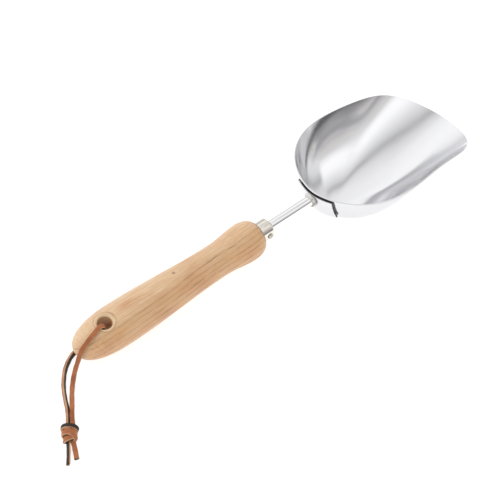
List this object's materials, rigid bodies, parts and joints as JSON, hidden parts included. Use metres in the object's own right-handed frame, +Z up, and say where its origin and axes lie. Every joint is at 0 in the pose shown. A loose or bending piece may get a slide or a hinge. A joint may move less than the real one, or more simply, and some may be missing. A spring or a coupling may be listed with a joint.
{
  "type": "hand transplanter",
  "caption": "Hand transplanter: a pressed steel scoop on a short round stem, with a turned wooden handle, a plated ferrule and a leather hanging thong.",
  "frame": {"origin": "on the surface that the tool lies on, midway along its length between the butt of the handle and the lip of the scoop, and midway across the scoop", "axes": "+Z up from the surface; +X from the butt of the handle to the lip of the scoop; +Y to the left of the tool when looking along +X"},
  "size_m": [0.3962, 0.1108, 0.0364],
  "materials": {
    "polished_stainless": "mirror-polished stainless steel sheet and bar",
    "weld_metal": "wire-brushed weld fillet with grey heat tint",
    "nickel_plate": "bright nickel plating on pressed steel",
    "rivet_steel": "hammered steel rivet heads, dull grey",
    "ash_wood": "turned ash, thin clear satin lacquer",
    "leather_lace": "cut leather lace, orange-brown grain side, dark edges, beige flesh side"
  },
  "bodies": {
    "root": {"scoop_blade": "polished_stainless", "saddle_plate": "polished_stainless", "stem": "polished_stainless", "stem_weld": "weld_metal", "ferrule": "nickel_plate", "ferrule_pin": "rivet_steel", "handle": "ash_wood", "thong_loop": "leather_lace", "thong_knot": "leather_lace", "thong_tail_long": "leather_lace", "thong_tail_short": "leather_lace"}
  },
  "joints": []
}
